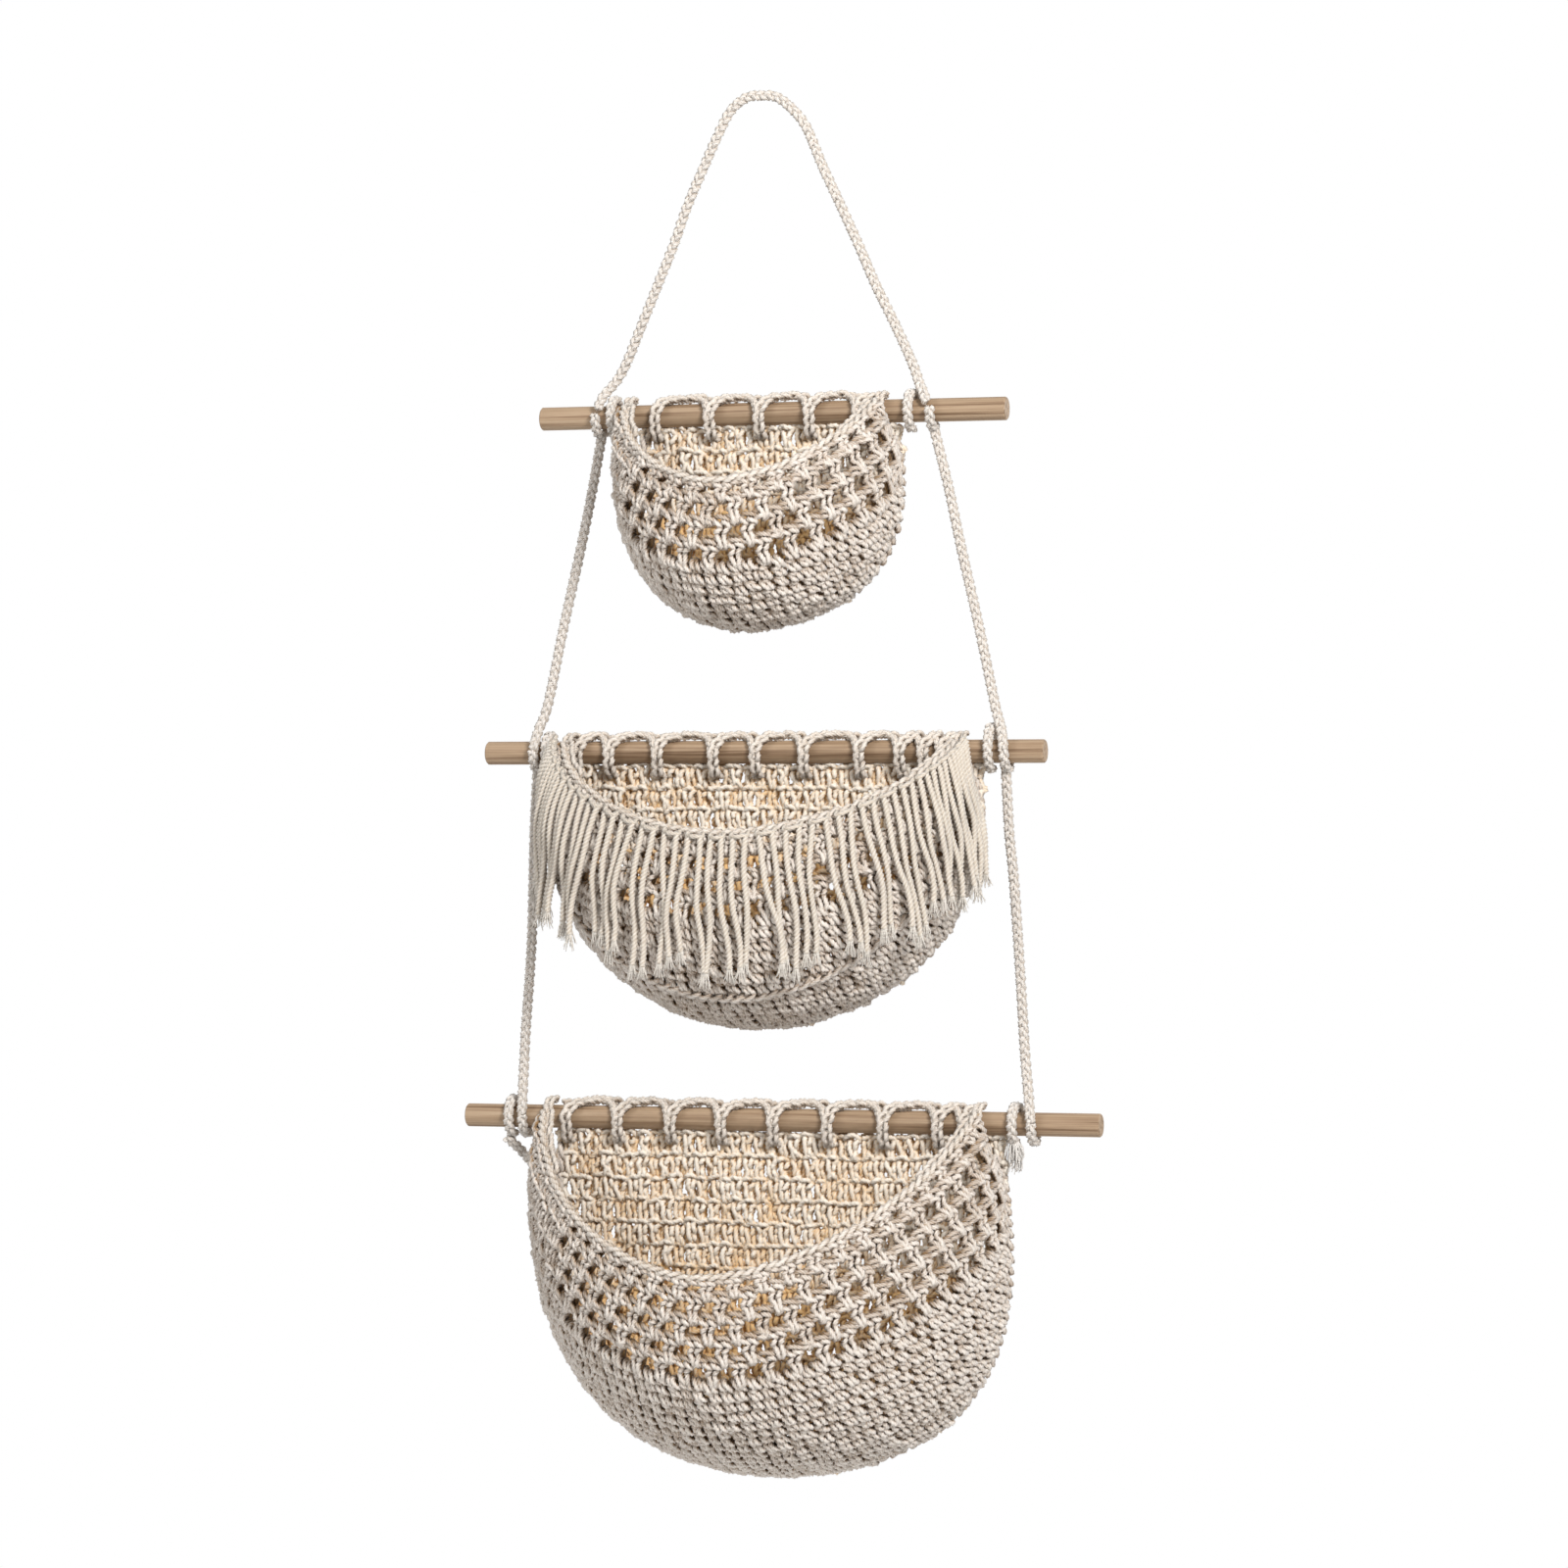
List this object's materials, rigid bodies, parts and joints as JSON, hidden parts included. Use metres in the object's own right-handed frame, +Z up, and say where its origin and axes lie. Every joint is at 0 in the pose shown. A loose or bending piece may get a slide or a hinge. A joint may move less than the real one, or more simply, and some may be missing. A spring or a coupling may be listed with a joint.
{
  "type": "hanging basket",
  "caption": "Three-tier hanging basket: half-bowl crocheted pockets laced to wooden dowels on one braided cotton cord.",
  "frame": {"origin": "centre of the cord where it lies over its nail", "axes": "+X along the dowels to the right seen from the room, -Y towards the room, +Z up"},
  "size_m": [0.34, 0.1258, 0.7108],
  "materials": {
    "braided_cord": "undyed braided cotton cord",
    "crochet_cotton": "undyed cotton yarn in crochet stitches",
    "chain_cotton": "undyed cotton yarn worked as a chain",
    "fringe_yarn": "undyed plied cotton strands with brushed ends",
    "dowel_wood": "unvarnished sanded pine"
  },
  "bodies": {
    "hanger": {"hanging_cord": "braided_cord", "top_left_wrap": "braided_cord", "top_right_wrap": "braided_cord"},
    "top_dowel": {"top_dowel": "dowel_wood"},
    "top_basket": {"top_back_panel": "crochet_cotton", "top_pocket": "crochet_cotton", "top_rim_braid": "chain_cotton", "top_lacing": "chain_cotton"},
    "middle_tier": {"middle_cord_left": "braided_cord", "middle_cord_right": "braided_cord", "middle_left_wrap": "braided_cord", "middle_right_wrap": "braided_cord"},
    "middle_dowel": {"middle_dowel": "dowel_wood"},
    "middle_basket": {"middle_back_panel": "crochet_cotton", "middle_pocket": "crochet_cotton", "middle_rim_braid": "chain_cotton", "middle_lacing": "chain_cotton", "fringe": "fringe_yarn"},
    "bottom_tier": {"lower_cord_left": "braided_cord", "lower_cord_right": "braided_cord", "bottom_left_wrap": "braided_cord", "bottom_right_wrap": "braided_cord", "cord_tail": "braided_cord"},
    "bottom_dowel": {"bottom_dowel": "dowel_wood"},
    "bottom_basket": {"bottom_back_panel": "crochet_cotton", "bottom_pocket": "crochet_cotton", "bottom_rim_braid": "chain_cotton", "bottom_lacing": "chain_cotton"}
  },
  "joints": [
    {"name": "top_dowel_slide", "type": "slide", "parent": "hanger", "child": "top_dowel", "axis": [1, 0, 0], "range_m": [-0.034, 0.028]},
    {"name": "top_basket_swing", "type": "hinge", "parent": "hanger", "child": "top_basket", "pos_m": [0, 0, -0.164], "axis": [-1, 0, 0], "range_deg": [0, 60]},
    {"name": "middle_tier_swing", "type": "hinge", "parent": "hanger", "child": "middle_tier", "pos_m": [0, 0, -0.164], "axis": [-1, 0, 0], "range_deg": [0, 45]},
    {"name": "middle_dowel_slide", "type": "slide", "parent": "middle_tier", "child": "middle_dowel", "axis": [1, 0, 0], "range_m": [-0.016, 0.024]},
    {"name": "middle_basket_swing", "type": "hinge", "parent": "middle_tier", "child": "middle_basket", "pos_m": [0, 0, -0.338], "axis": [-1, 0, 0], "range_deg": [0, 60]},
    {"name": "bottom_tier_swing", "type": "hinge", "parent": "middle_tier", "child": "bottom_tier", "pos_m": [0, 0, -0.338], "axis": [-1, 0, 0], "range_deg": [0, 45]},
    {"name": "bottom_dowel_slide", "type": "slide", "parent": "bottom_tier", "child": "bottom_dowel", "axis": [1, 0, 0], "range_m": [-0.031, 0.022]},
    {"name": "bottom_basket_swing", "type": "hinge", "parent": "bottom_tier", "child": "bottom_basket", "pos_m": [0, 0, -0.527], "axis": [-1, 0, 0], "range_deg": [0, 60]}
  ]
}
